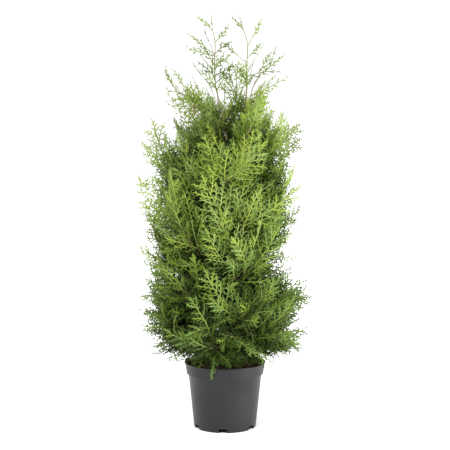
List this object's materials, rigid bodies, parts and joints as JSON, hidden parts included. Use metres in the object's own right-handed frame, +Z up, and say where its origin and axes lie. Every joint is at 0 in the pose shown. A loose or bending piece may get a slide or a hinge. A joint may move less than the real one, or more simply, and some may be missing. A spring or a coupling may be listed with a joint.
{
  "type": "potted thuja",
  "caption": "Young evergreen conifer with a dense column of feathery flat sprays and open leading shoots, growing from peat in a round dark plastic nursery pot.",
  "frame": {"origin": "centre of the pot's flat underside, on the surface that the pot stands on", "axes": "+Z up along the pot's axis, -Y towards the front of the plant, +X to the front view's right"},
  "size_m": [0.4744, 0.4667, 1.1296],
  "materials": {
    "pot": "satin moulded",
    "growing_medium": "coarse damp peat",
    "bark": "fibrous bark",
    "foliage": "waxy scale leaves"
  },
  "bodies": {
    "root": {"bough_lower_1": "bark", "bough_lower_2": "bark", "bough_lower_3": "bark", "bough_lower_4": "bark", "bough_lower_5": "bark", "bough_lower_6": "bark", "bough_middle_1": "bark", "bough_middle_2": "bark", "bough_middle_3": "bark", "bough_middle_4": "bark", "bough_middle_5": "bark", "bough_middle_6": "bark", "bough_skirt_1": "bark", "bough_skirt_2": "bark", "bough_skirt_3": "bark", "bough_skirt_4": "bark", "bough_skirt_5": "bark", "bough_skirt_6": "bark", "growing_medium": "growing_medium", "leader_left": "foliage", "leader_right": "foliage", "lower_1": "foliage", "lower_2": "foliage", "lower_3": "foliage", "lower_4": "foliage", "lower_5": "foliage", "lower_6": "foliage", "middle_1": "foliage", "middle_2": "foliage", "middle_3": "foliage", "middle_4": "foliage", "middle_5": "foliage", "middle_6": "foliage", "pot": "pot", "second_leader": "bark", "shoulder_1": "foliage", "shoulder_2": "foliage", "shoulder_3": "foliage", "shoulder_4": "foliage", "shoulder_5": "foliage", "side_left": "foliage", "side_middle": "foliage", "side_right": "foliage", "skirt_1": "foliage", "skirt_2": "foliage", "skirt_3": "foliage", "skirt_4": "foliage", "skirt_5": "foliage", "skirt_6": "foliage", "top_1": "foliage", "top_2": "foliage", "top_3": "foliage", "top_4": "foliage", "trunk": "bark", "upper_1": "foliage", "upper_2": "foliage", "upper_3": "foliage", "upper_4": "foliage", "upper_5": "foliage"}
  },
  "joints": []
}
